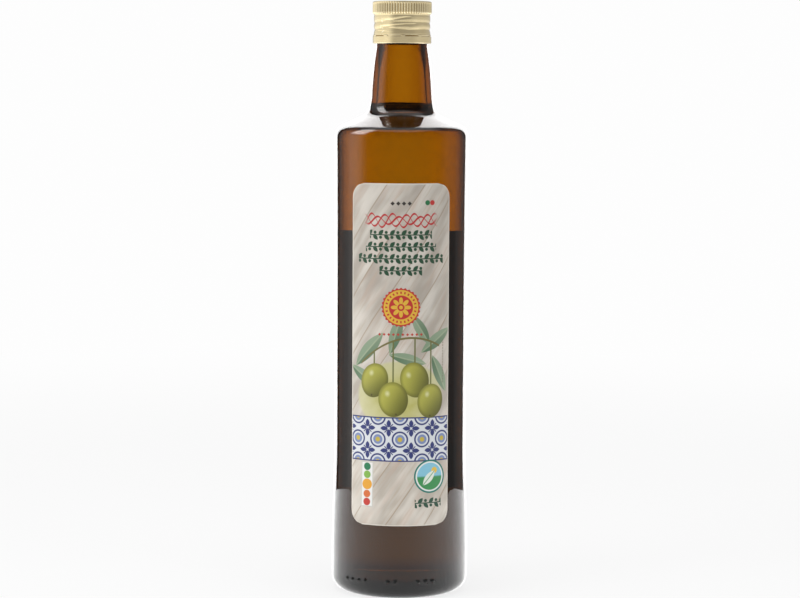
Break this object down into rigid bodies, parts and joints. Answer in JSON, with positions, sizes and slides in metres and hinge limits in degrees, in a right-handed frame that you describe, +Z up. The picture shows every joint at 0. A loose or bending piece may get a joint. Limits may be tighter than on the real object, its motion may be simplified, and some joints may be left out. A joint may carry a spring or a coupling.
{
  "type": "olive oil bottle",
  "caption": "Tall round brown-glass oil bottle with short neck, rolled-on gold screw cap, full of oil, with an arched front label and a back label.",
  "frame": {"origin": "middle of the ring that the bottle stands on", "axes": "+Z up along the bottle's axis, the front label faces -Y"},
  "size_m": [0.0738, 0.0741, 0.3203],
  "materials": {
    "amber_glass": "gloss",
    "olive_oil": "gloss",
    "gold_aluminium": "satin",
    "label_paper": "satin"
  },
  "bodies": {
    "root": {"bottle_glass": "amber_glass", "oil": "olive_oil", "cap": "gold_aluminium", "front_label": "label_paper", "back_label": "label_paper"}
  },
  "joints": []
}
